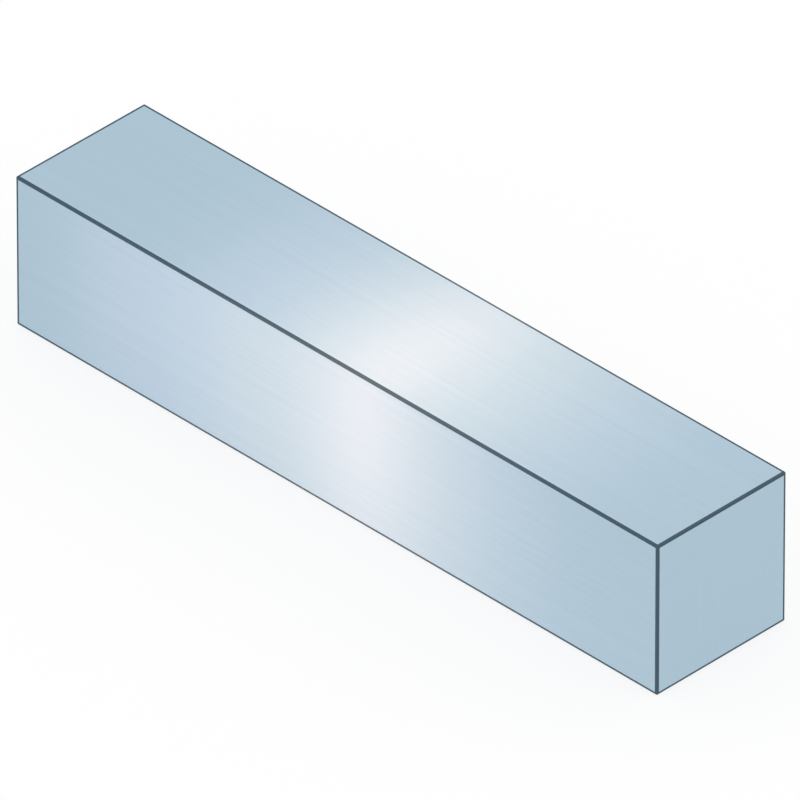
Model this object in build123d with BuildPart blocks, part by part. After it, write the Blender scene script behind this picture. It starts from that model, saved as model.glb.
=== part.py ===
"""A parallel key with square ends: the plain square bar that locks a hub to its shaft.

Its lower half lies in the shaft's keyseat and its upper half in the hub's keyway, so the
torque passes from one flank to the other. It is one piece of cold-drawn key steel, cut
square to length and tumbled, which leaves the same small rounding on all twelve edges.

Frame: +X along the key and the shaft, +Y across from flank to flank, +Z out of the
keyseat towards the hub. The origin is the middle of the bottom face, on the keyseat's
floor. Sizes are in millimetres.
"""

from build123d import *

import os

# The drawn section and the cut length, for a shaft of 12 to 17 mm.
KEY_WIDTH = 5.0  # flank to flank, along Y
KEY_HEIGHT = 5.0  # keyseat floor to hub side, along Z
KEY_LENGTH = 25.0  # cut end to cut end, along X

# Tumbling takes the sharpness off the drawn corners and the burr off the cut ends.
EDGE_RADIUS = 0.03


with BuildPart() as parallel_key:
    # The drawn section stands on the keyseat's floor.
    with BuildSketch(Plane.YZ):
        Rectangle(KEY_WIDTH, KEY_HEIGHT, align=(Align.CENTER, Align.MIN))
    # The bar is cut square, half its length to each side of the section.
    extrude(amount=KEY_LENGTH / 2, both=True)
    # Four drawn corners and the outline of each cut end are all broken alike.
    fillet(parallel_key.edges(), radius=EDGE_RADIUS)

parallel_key.part.label = "parallel_key"

os.makedirs("parts", exist_ok=True)
export_step(parallel_key.part, "parts/parallel_key.step")
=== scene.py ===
# %% [markdown]
# # A parallel key in bright drawn steel
#
# The object is a square steel bar, 25 mm long and 5 mm thick, that locks a hub to a shaft.
# Its shape comes finished from the CAD frame. This lesson gives it two finishes that the real key has,
# each left by one step of its making: fine lines along the four drawn faces and fine lines across the
# two cut ends. It also paints a thin dark line along every edge, a painted shade in place of the dark
# that the rounded edges would reflect.
# Then it lights the bar so that the drawn grain reads as metal.

import math

import bpy
from mathutils import Matrix, Vector


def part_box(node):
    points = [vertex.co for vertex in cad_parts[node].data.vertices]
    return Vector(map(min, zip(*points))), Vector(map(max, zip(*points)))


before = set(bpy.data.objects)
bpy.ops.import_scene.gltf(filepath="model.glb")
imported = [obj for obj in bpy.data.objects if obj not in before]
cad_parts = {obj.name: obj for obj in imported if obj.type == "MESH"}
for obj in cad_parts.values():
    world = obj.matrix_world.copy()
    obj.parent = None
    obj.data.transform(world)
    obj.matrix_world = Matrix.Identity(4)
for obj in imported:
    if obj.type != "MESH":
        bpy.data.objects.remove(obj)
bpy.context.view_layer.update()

MM = 0.001  # Blender works in metres, and this bar is best described in millimetres

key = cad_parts["parallel_key"]
lowest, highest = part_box("parallel_key")
key_centre = (lowest + highest) / 2
key_half_size = (highest - lowest) / 2
print("key, mm:", [round(side / MM, 3) for side in highest - lowest])

# %% [markdown]
# ## The camera
#
# An isometric view looks down the diagonal of a cube: 45 degrees round and 35.26 degrees
# up, so that all three edge directions come out equally short. A true isometric picture has
# no perspective either. Blender's orthographic camera would give that, but it keeps one
# frame width for every view, and the whole bar seen square on is wider than this one. A
# very long lens from far away is nearly free of perspective too, and it can step back.

# %% Camera
CAMERA_AZIMUTH = math.radians(45)
CAMERA_ELEVATION = math.atan(1 / math.sqrt(2))  # the isometric 35.26 degrees
LENS_MM = 1500
SENSOR_MM = 36
FRAME_WIDTH = 22.07 * MM  # what the picture takes in, side to side, at the key's centre
AIM_RIGHT = 0.04 * MM
AIM_DOWN = 0.075 * MM
NEAREST_SEEN = 10 * MM

to_camera = Vector((
    math.sin(CAMERA_AZIMUTH) * math.cos(CAMERA_ELEVATION),
    -math.cos(CAMERA_AZIMUTH) * math.cos(CAMERA_ELEVATION),
    math.sin(CAMERA_ELEVATION),
))
camera_right = Vector((math.cos(CAMERA_AZIMUTH), math.sin(CAMERA_AZIMUTH), 0))
camera_up = to_camera.cross(camera_right)
camera_distance = FRAME_WIDTH * LENS_MM / SENSOR_MM

camera = bpy.data.objects.new("camera", bpy.data.cameras.new("camera"))
camera.data.lens = LENS_MM
camera.data.sensor_width = SENSOR_MM
camera.data.clip_start = NEAREST_SEEN
aim = key_centre + AIM_RIGHT * camera_right - AIM_DOWN * camera_up
camera.location = aim + camera_distance * to_camera
camera.rotation_euler = to_camera.to_track_quat("Z", "Y").to_euler()
bpy.context.scene.collection.objects.link(camera)
bpy.context.scene.camera = camera
bpy.context.scene.view_settings.view_transform = "Standard"
print("camera distance, mm:", round(camera_distance / MM))

# %% [markdown]
# ## Helpers for nodes
#
# A material is a graph of nodes. Building one in code is mostly adding a node, setting a
# few of its properties and feeding its sockets, so one helper does all three. A socket is
# given a number, a colour or another node's output, and it is named, or numbered where a
# node has several sockets of one name.

# %% Node helpers
def add_node(tree, kind, feed=None, **settings):
    """Adds a node with the given properties and feeds its inputs, each by a value or a link."""
    node = tree.nodes.new(kind)
    for name, value in settings.items():
        setattr(node, name, value)
    for socket, value in (feed or {}).items():
        if isinstance(value, bpy.types.NodeSocket):
            tree.links.new(value, node.inputs[socket])
        else:
            node.inputs[socket].default_value = value
    return node


def calculate(tree, operation, *values):
    """One step of arithmetic: adds a Math node and returns its output."""
    return add_node(tree, "ShaderNodeMath", dict(enumerate(values)), operation=operation).outputs[0]


def new_material(name):
    """A material with an empty node tree."""
    material = bpy.data.materials.new(name)
    material.use_nodes = True
    material.node_tree.nodes.clear()
    return material


print("node helpers:", [helper.__name__ for helper in (add_node, calculate, new_material)])

# %% [markdown]
# ## The white room
#
# Metal has little colour of its own: it shows its surroundings, tinted. In an even white
# room of strength 1 the steel therefore renders in about the colour that is written in its
# material. The world gives that light.

# %% World
ROOM_WHITE = (1, 1, 1, 1)
ROOM_STRENGTH = 1.0

world = bpy.data.worlds.new("white_room")
world.use_nodes = True
background = world.node_tree.nodes["Background"]
background.inputs["Color"].default_value = ROOM_WHITE
background.inputs["Strength"].default_value = ROOM_STRENGTH
bpy.context.scene.world = world
print("world:", world.name, "of strength", ROOM_STRENGTH)

# %% [markdown]
# ## The floor
#
# The floor is a matt white sheet that catches the key's soft shadow, which plain white
# everywhere would hide. Light Path lifts the sheet most of the way to plain white for rays
# from the camera, so that the shadow stays light, and further still for reflections, so
# that the flanks mirror a floor as white as the room.

# %% Floor
FLOOR_HALF_SIZE = 1.0
SEEN_LIFT = 0.75  # how much of the floor is plain white to the camera; the rest has the shadow
MIRRORED_LIFT = 0.9  # the same for a reflection

floor_sheet = new_material("floor_sheet")
tree = floor_sheet.node_tree
ray = add_node(tree, "ShaderNodeLightPath").outputs
mirrored = calculate(tree, "MAXIMUM", ray["Is Glossy Ray"], ray["Is Transmission Ray"])
mirrored_lift = calculate(tree, "MULTIPLY", mirrored, MIRRORED_LIFT)
lift = calculate(tree, "MULTIPLY_ADD", ray["Is Camera Ray"], SEEN_LIFT, mirrored_lift)
matt = add_node(tree, "ShaderNodeBsdfDiffuse", {"Color": ROOM_WHITE})
plain = add_node(tree, "ShaderNodeEmission", {"Color": ROOM_WHITE, "Strength": ROOM_STRENGTH})
lifted = add_node(tree, "ShaderNodeMixShader", {0: lift, 1: matt.outputs[0], 2: plain.outputs[0]})
add_node(tree, "ShaderNodeOutputMaterial", {"Surface": lifted.outputs[0]})

floor_mesh = bpy.data.meshes.new("floor")
floor_corners = [
    (x * FLOOR_HALF_SIZE, y * FLOOR_HALF_SIZE, lowest.z)
    for x, y in ((-1, -1), (1, -1), (1, 1), (-1, 1))
]
floor_mesh.from_pydata(floor_corners, [], [(0, 1, 2, 3)])
floor_mesh.materials.append(floor_sheet)
floor = bpy.data.objects.new("floor", floor_mesh)
bpy.context.scene.collection.objects.link(floor)
print("floor: a white sheet", 2 * FLOOR_HALF_SIZE, "m square")

# %% [markdown]
# ## What the lamps have to do
#
# Drawn grain spreads a lamp's reflection far across its lines and only a little along them.
# So a small lamp square to a long face shows as a band that runs straight across that face,
# and the lamp's place along the bar decides where the band falls. Each of the three faces
# that can be seen gets lamps for eyes near the right end, straight ahead and near the left
# end. They are aimed at the band with a narrow spread, so that each serves its own eye and
# leaves the other two reflections alone.
#
# One lamp would give a band of one width and colour. Here three lie over each other: a
# short core for the crisp middle, a panel for the shoulders and a long, rosy glow that turns
# the blue of the steel to lavender in the tails. All are warm against the cool metal, which
# brings the middle to nearly white.

# %% Lamp values
LAMP_DISTANCE = 24.5 * MM
LAMP_WIDTH = 4.5 * MM  # narrower than the face, so that a lamp lights no other long face
LAMP_SPREAD = math.radians(70)  # about twice the angle between two eyes' reflections
BAND_AT = 1.2 * MM  # where the band crosses the bar, from its middle

# For each eye: how far its reflection runs along the bar for each step away from the bar's
# own line, which is one over the root of two at an isometric angle, and the strength of its
# lamps. The ones straight ahead are a little weaker, so that the band is no brighter there.
ISOMETRIC_SLOPE = 1 / math.sqrt(2)
EYES = {"right": (-ISOMETRIC_SLOPE, 1.0), "ahead": (0, 0.9), "left": (ISOMETRIC_SLOPE, 1.0)}

# For each lamp: its length and its shift along the bar, both in millimetres, and its power
# in milliwatts, because the bar is tiny and its lamps are close.
TOP_LAMPS = {"core": (0.8, 0.2, 0.043), "panel": (7.0, 1.1, 0.048), "glow": (12.6, 0.6, 0.046)}
FLANK_LAMPS = {"core": (0.8, 0.0, 0.0435), "panel": (8.6, -0.8, 0.047), "glow": (14.6, -2.2, 0.069)}
LAMP_COLOURS = {"core": (1.0, 0.49, 0.35), "panel": (1.0, 0.69, 0.31), "glow": (1.0, 0.60, 0.67)}
WATTS_IN_MILLIWATT = 0.001
print("lamps for each eye and face:", list(LAMP_COLOURS))

# %% [markdown]
# ## Hanging the lamps
#
# A rectangular area lamp shines along its own -Z, with its size measured on its X and Y. So
# its matrix is made of three directions: X as nearly along the bar as the aim allows, Y
# across, and Z back towards the lamp from its target. Light linking lets the lamps light the
# key alone, and the floor keeps its even white.

# %% Lamps
lit_by_lamps = bpy.data.collections.new("lit_by_lamps")
lit_by_lamps.objects.link(key)


def hang_lamp(name, target, direction, length, power, colour):
    """Hangs a rectangular lamp in the given direction from its target, and aims it back."""
    light = bpy.data.lights.new(name, "AREA")
    light.shape = "RECTANGLE"
    light.size = length
    light.size_y = LAMP_WIDTH
    light.spread = LAMP_SPREAD
    light.energy = power
    light.color = colour
    lamp = bpy.data.objects.new(name, light)
    across = direction.cross(Vector((1, 0, 0))).normalized()
    along = across.cross(direction)
    turn = Matrix((along, across, direction)).transposed().to_4x4()
    lamp.matrix_world = Matrix.Translation(target + LAMP_DISTANCE * direction) @ turn
    lamp.visible_camera = False
    lamp.light_linking.receiver_collection = lit_by_lamps
    bpy.context.scene.collection.objects.link(lamp)


def light_face(face_name, outward, lamps):
    """Hangs all the lamps for the long face that looks `outward`, aimed at its band."""
    band = key_centre + Vector(outward) * key_half_size.z + Vector((BAND_AT, 0, 0))
    for eye, (slope, strength) in EYES.items():
        direction = Vector((slope, outward[1], outward[2])).normalized()
        for lamp, (length, shift, milliwatts) in lamps.items():
            name = f"{face_name}_{lamp}_{eye}"
            target = band + Vector((shift * MM, 0, 0))
            power = milliwatts * WATTS_IN_MILLIWATT * strength
            hang_lamp(name, target, direction, length * MM, power, LAMP_COLOURS[lamp])


light_face("top", (0, 0, 1), TOP_LAMPS)
light_face("front", (0, -1, 0), FLANK_LAMPS)
light_face("rear", (0, 1, 0), FLANK_LAMPS)

# %% [markdown]
# ## Where on the bar a point lies
#
# Two finishes and a painted shade along the edges share one mesh, so the material has to know where it
# is. It could be told by painted masks or by face indices, but a box is easily measured: the depth of a
# point below each of the three pairs of faces comes from its place alone. On a face one depth is zero.
# Beside an edge two are small, so the middle one of the three depths is the distance to the
# nearest edge. On a cut end the depth from the end is the least of the three.

# %% Group: bar regions
def new_group(name, inputs, outputs):
    """A shader node group with named sockets: gives its tree, what comes in and its output node."""
    group = bpy.data.node_groups.new(name, "ShaderNodeTree")
    for socket, kind in inputs.items():
        group.interface.new_socket(socket, in_out="INPUT", socket_type="NodeSocket" + kind)
    for socket in outputs:
        group.interface.new_socket(socket, in_out="OUTPUT", socket_type="NodeSocketFloat")
    return group, group.nodes.new("NodeGroupInput").outputs, group.nodes.new("NodeGroupOutput")


def calculate_vector(tree, operation, *vectors):
    """The same step of arithmetic on all three parts of a vector."""
    feed = dict(enumerate(vectors))
    return add_node(tree, "ShaderNodeVectorMath", feed, operation=operation).outputs[0]


bar_regions, given, result = new_group(
    "bar_regions",
    {"Place": "Vector", "Centre": "Vector", "Half Size": "Vector", "Line": "Float", "Fade": "Float"},
    ("Edge Shade", "End"),
)
from_centre = calculate_vector(bar_regions, "SUBTRACT", given["Place"], given["Centre"])
distance = calculate_vector(bar_regions, "ABSOLUTE", from_centre)
depth = calculate_vector(bar_regions, "SUBTRACT", given["Half Size"], distance)
from_end, from_flank, from_top = add_node(bar_regions, "ShaderNodeSeparateXYZ", {0: depth}).outputs
least = calculate(bar_regions, "MINIMUM", from_end, from_flank)
most = calculate(bar_regions, "MAXIMUM", from_end, from_flank)
to_edge = calculate(bar_regions, "MAXIMUM", least, calculate(bar_regions, "MINIMUM", most, from_top))
# the mask for the painted shade along the edges: full within Line of an edge, fading out over Fade
line_and_fade = calculate(bar_regions, "ADD", given["Line"], given["Fade"])
edge = add_node(
    bar_regions,
    "ShaderNodeMapRange",
    {"Value": to_edge, "From Min": line_and_fade, "From Max": given["Line"]},
    interpolation_type="SMOOTHSTEP",
)
from_side = calculate(bar_regions, "MINIMUM", from_flank, from_top)
end = calculate(bar_regions, "LESS_THAN", from_end, from_side)
bar_regions.links.new(edge.outputs[0], result.inputs["Edge Shade"])
bar_regions.links.new(end, result.inputs["End"])
print("group:", bar_regions.name, [item.name for item in bar_regions.interface.items_tree])

# %% [markdown]
# ## Fine lines
#
# The die leaves lines along the bar and the saw leaves lines across its ends. Both are the
# same thing with other numbers: a noise that changes quickly one way and hardly at all the
# other. A wave texture would be too regular, because real lines start, fade and crowd. Two
# noises are laid over each other, single hairlines and the broader streaks that they crowd
# into, and the group is placed twice with its own density each time.

# %% Group: fine lines
HAIRLINE_SHARE = 0.55
HAIRLINE_SCALE = 1.0
STREAK_SCALE = 0.2  # streaks are five times as broad as hairlines
HAIRLINE_DETAIL = 2.0
STREAK_DETAIL = 1.0
NOISE_LOW = 0.3  # noise seldom leaves this range, so it is stretched to the full one
NOISE_HIGH = 0.7

fine_lines, given, result = new_group("fine_lines", {"Place": "Vector", "Density": "Vector"}, ("Lines",))
stretched = calculate_vector(fine_lines, "MULTIPLY", given["Place"], given["Density"])
hairlines = add_node(
    fine_lines,
    "ShaderNodeTexNoise",
    {"Vector": stretched, "Scale": HAIRLINE_SCALE, "Detail": HAIRLINE_DETAIL},
)
streaks = add_node(
    fine_lines,
    "ShaderNodeTexNoise",
    {"Vector": stretched, "Scale": STREAK_SCALE, "Detail": STREAK_DETAIL},
)
blend = add_node(
    fine_lines,
    "ShaderNodeMix",
    {"Factor": HAIRLINE_SHARE, "A": streaks.outputs[0], "B": hairlines.outputs[0]},
)
spread = add_node(
    fine_lines,
    "ShaderNodeMapRange",
    {"Value": blend.outputs[0], "From Min": NOISE_LOW, "From Max": NOISE_HIGH},
)
fine_lines.links.new(spread.outputs[0], result.inputs["Lines"])
print("group:", fine_lines.name, [item.name for item in fine_lines.interface.items_tree])

# %% [markdown]
# ## The colour of the steel
#
# The lines are a touch lighter and darker than the metal between them, as they would be on a real bar,
# where they tilt a little to and from the light. The ends are set a touch lighter than the drawn faces,
# painted light that makes up for the darker, shadowed floor they mirror. Last, a painted shade goes over
# both: a dark line along every edge.

# %% Material: bright key steel, colour
STEEL_LIGHT = (0.519, 0.686, 0.804, 1)
STEEL_SHADE = (0.48, 0.633, 0.74, 1)
# the cut ends: a grain tone, set a touch lighter than the drawn faces as painted light that makes up for
# the darker floor they mirror
CUT_LIGHT = (0.524, 0.691, 0.809, 1)
CUT_SHADE = (0.495, 0.652, 0.76, 1)
# painted shade: a dark line along every edge, in place of the dark that the rounded edges would reflect
PAINTED_EDGE_SHADE = (0.075, 0.125, 0.165, 1)
EDGE_LINE = 0.075 * MM
EDGE_FADE = 0.012 * MM
DRAWN_DENSITY = (180, 24000, 24000)  # noise cells to the metre, along and across the bar
CUT_DENSITY = (24000, 24000, 700)

steel = new_material("bright_key_steel_drawn")
tree = steel.node_tree
coordinates = add_node(tree, "ShaderNodeTexCoord").outputs
place = coordinates["Object"]

# A Mix node has a factor, two inputs and an output for each kind of data, all named alike.
MIX_SOCKETS = {"FLOAT": (0, 2, 3, 0), "VECTOR": (0, 4, 5, 1), "RGBA": (0, 6, 7, 2)}


def mix(kind, factor, first, second):
    """A Mix node of the given kind: first where the factor is 0, second where it is 1."""
    factor_in, first_in, second_in, out = MIX_SOCKETS[kind]
    feed = {factor_in: factor, first_in: first, second_in: second}
    return add_node(tree, "ShaderNodeMix", feed, data_type=kind).outputs[out]


measures = {
    "Place": place,
    "Centre": key_centre,
    "Half Size": key_half_size,
    "Line": EDGE_LINE,
    "Fade": EDGE_FADE,
}
regions = add_node(tree, "ShaderNodeGroup", measures, node_tree=bar_regions).outputs
along_bar = {"Place": place, "Density": DRAWN_DENSITY}
across_end = {"Place": place, "Density": CUT_DENSITY}
drawn = add_node(tree, "ShaderNodeGroup", along_bar, node_tree=fine_lines).outputs["Lines"]
cut = add_node(tree, "ShaderNodeGroup", across_end, node_tree=fine_lines).outputs["Lines"]
drawn_colour = mix("RGBA", drawn, STEEL_SHADE, STEEL_LIGHT)
cut_colour = mix("RGBA", cut, CUT_SHADE, CUT_LIGHT)
face_colour = mix("RGBA", regions["End"], drawn_colour, cut_colour)
# paints the dark edge line, a painted shade, over the faces
colour = mix("RGBA", regions["Edge Shade"], face_colour, PAINTED_EDGE_SHADE)
print("edge line, mm:", round((EDGE_LINE + EDGE_FADE) / MM, 3))

# %% [markdown]
# ## The surface of the steel
#
# The same lines vary the roughness and raise a bump under a thousandth of a millimetre high.
# Anisotropic is what makes drawn steel look drawn: it stretches reflections across the
# grain. The stretch follows the Tangent, which circles the bar on its long faces and runs
# from flank to flank on its cut ends. Which of the two holds is read from the normal: on an
# end it points along the bar.

# %% Material: bright key steel, surface
SMOOTHEST = 0.38
ROUGHEST = 0.42
LINE_HEIGHT = 0.0006 * MM
END_NORMAL = math.cos(math.radians(45))  # on an end, more of the normal than this is along the bar

lines = mix("FLOAT", regions["End"], drawn, cut)
roughness = add_node(
    tree, "ShaderNodeMapRange", {"Value": lines, "To Min": SMOOTHEST, "To Max": ROUGHEST}
)
bump = add_node(tree, "ShaderNodeBump", {"Height": lines, "Distance": LINE_HEIGHT})
round_bar = add_node(tree, "ShaderNodeTangent", direction_type="RADIAL", axis="X")
flank_to_flank = add_node(tree, "ShaderNodeTangent", direction_type="RADIAL", axis="Z")
normal_along_bar = add_node(tree, "ShaderNodeSeparateXYZ", {0: coordinates["Normal"]}).outputs["X"]
on_end = calculate(tree, "GREATER_THAN", calculate(tree, "ABSOLUTE", normal_along_bar), END_NORMAL)
tangent = mix("VECTOR", on_end, round_bar.outputs[0], flank_to_flank.outputs[0])
metal = add_node(
    tree,
    "ShaderNodeBsdfPrincipled",
    {
        "Base Color": colour,
        "Metallic": 1.0,
        "Roughness": roughness.outputs[0],
        "Anisotropic": 1.0,
        "Normal": bump.outputs[0],
        "Tangent": tangent,
    },
)
add_node(tree, "ShaderNodeOutputMaterial", {"Surface": metal.outputs[0]})
key.material_slots[0].material = steel
print("material:", steel.name, "with", len(tree.nodes), "nodes")
